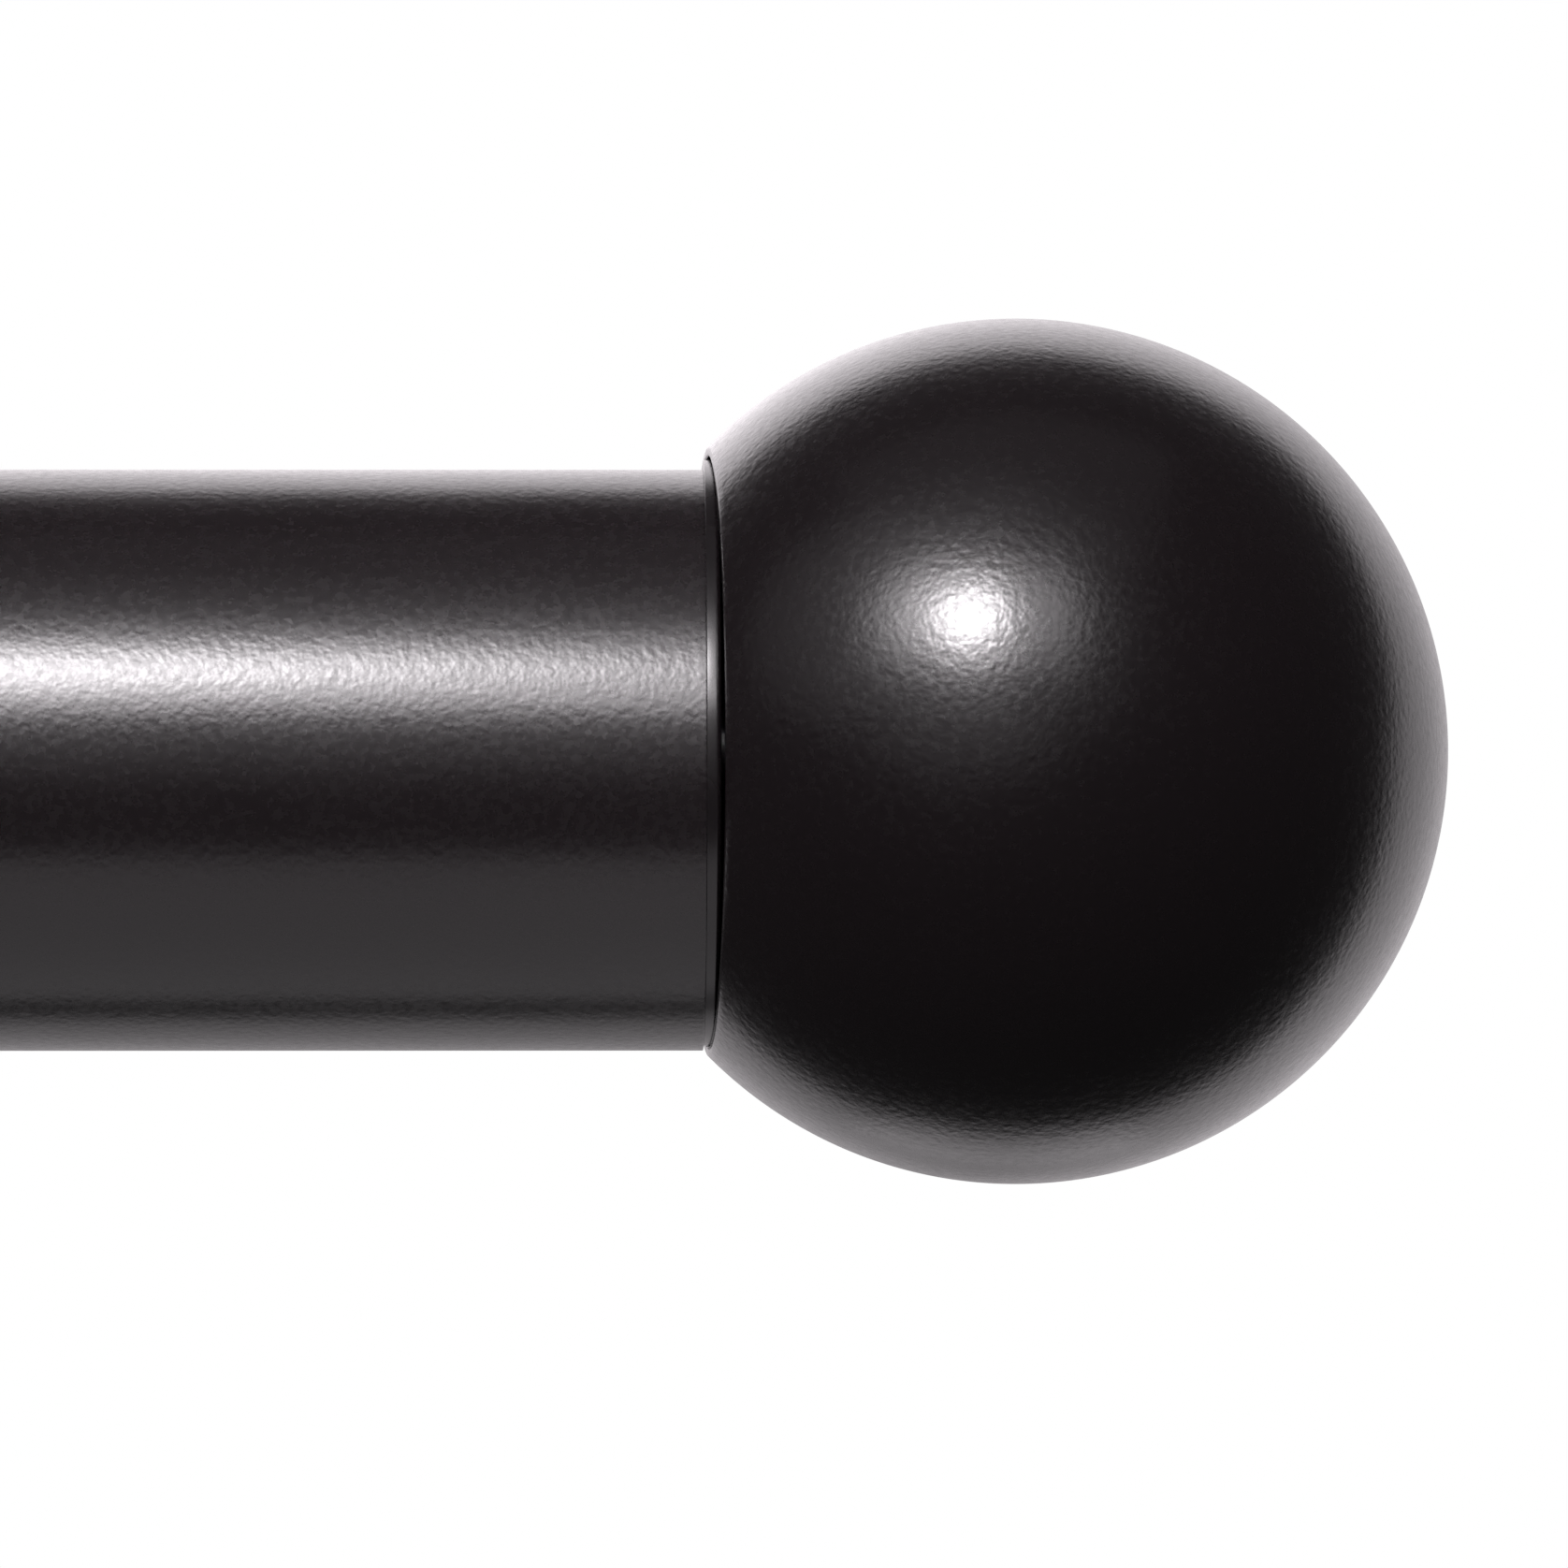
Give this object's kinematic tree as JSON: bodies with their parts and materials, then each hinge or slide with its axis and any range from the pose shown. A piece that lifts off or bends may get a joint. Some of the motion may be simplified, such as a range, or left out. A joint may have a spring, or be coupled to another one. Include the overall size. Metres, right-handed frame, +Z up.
{
  "type": "telescoping curtain rod with brackets",
  "caption": "Telescoping round curtain rod with ball finials, lying in open cradles on adjustable wall brackets, all satin black.",
  "frame": {"origin": "middle of the right wall plate's two screw holes, on the wall", "axes": "+X along the rod to the right finial, +Y into the wall, +Z up"},
  "size_m": [0.7764, 0.1235, 0.0816],
  "materials": {
    "black_paint": "satin black powder coat on steel, fine orange peel",
    "black_plastic": "moulded black nylon",
    "white_plastic": "moulded natural acetal",
    "zinc_steel": "clear zinc plate"
  },
  "bodies": {
    "right_wall": {"right_wall_plate": "black_paint", "right_arm_sleeve": "black_paint", "right_arm_nut": "zinc_steel"},
    "right_pinch": {"right_arm_screw": "zinc_steel"},
    "right_arm": {"right_arm_bar": "black_paint", "right_cradle": "black_paint", "right_cradle_nut": "black_paint"},
    "right_thumbscrew": {"right_rod_screw": "black_paint"},
    "right_finial": {"right_finial_ball": "black_paint", "right_finial_plug": "black_plastic", "right_finial_screw": "zinc_steel"},
    "outer_rod": {"outer_tube": "black_paint", "step_ring": "black_plastic"},
    "inner_rod": {"inner_tube": "black_paint", "guide_bush": "white_plastic"},
    "left_wall": {"left_wall_plate": "black_paint", "left_arm_sleeve": "black_paint", "left_arm_nut": "zinc_steel"},
    "left_pinch": {"left_arm_screw": "zinc_steel"},
    "left_arm": {"left_arm_bar": "black_paint", "left_cradle": "black_paint", "left_cradle_nut": "black_paint"},
    "left_thumbscrew": {"left_rod_screw": "black_paint"},
    "left_finial": {"left_finial_ball": "black_paint", "left_finial_plug": "black_plastic", "left_finial_screw": "zinc_steel"}
  },
  "joints": [
    {"name": "right_projection", "type": "slide", "parent": "right_wall", "child": "right_arm", "axis": [0, -1, 0], "range_m": [0, 0.04]},
    {"name": "rod_lift_out", "type": "slide", "parent": "right_arm", "child": "outer_rod", "axis": [0, 0, 1], "range_m": [0, 0.05]},
    {"name": "telescope", "type": "slide", "parent": "outer_rod", "child": "inner_rod", "axis": [-1, 0, 0], "range_m": [0, 0.508]},
    {"name": "left_cradle_stays", "type": "slide", "parent": "inner_rod", "child": "left_arm", "axis": [0, 0, -1], "range_m": [0, 0.05]},
    {"name": "left_projection", "type": "slide", "parent": "left_arm", "child": "left_wall", "axis": [0, 1, 0], "range_m": [0, 0.04]},
    {"name": "right_finial_pull", "type": "slide", "parent": "outer_rod", "child": "right_finial", "axis": [1, 0, 0], "range_m": [0, 0.03]},
    {"name": "left_finial_pull", "type": "slide", "parent": "inner_rod", "child": "left_finial", "axis": [-1, 0, 0], "range_m": [0, 0.03]},
    {"name": "right_thumbscrew_turn", "type": "hinge", "parent": "right_arm", "child": "right_thumbscrew", "pos_m": [0, -0.115, 0.012], "axis": [0, -1, 0], "range_deg": [0, 1080]},
    {"name": "left_thumbscrew_turn", "type": "hinge", "parent": "left_arm", "child": "left_thumbscrew", "pos_m": [-0.5992, -0.115, 0.0136], "axis": [0, -1, 0], "range_deg": [0, 1080]},
    {"name": "right_pinch_turn", "type": "hinge", "parent": "right_wall", "child": "right_pinch", "pos_m": [0, -0.056, 0], "axis": [1, 0, 0], "range_deg": [0, 720]},
    {"name": "left_pinch_turn", "type": "hinge", "parent": "left_wall", "child": "left_pinch", "pos_m": [-0.5992, -0.056, 0.0016], "axis": [1, 0, 0], "range_deg": [0, 720]}
  ],
  "couplings": [
    {"joint": "left_cradle_stays", "follows": "rod_lift_out", "ratio": 1},
    {"joint": "left_projection", "follows": "right_projection", "ratio": 1}
  ]
}
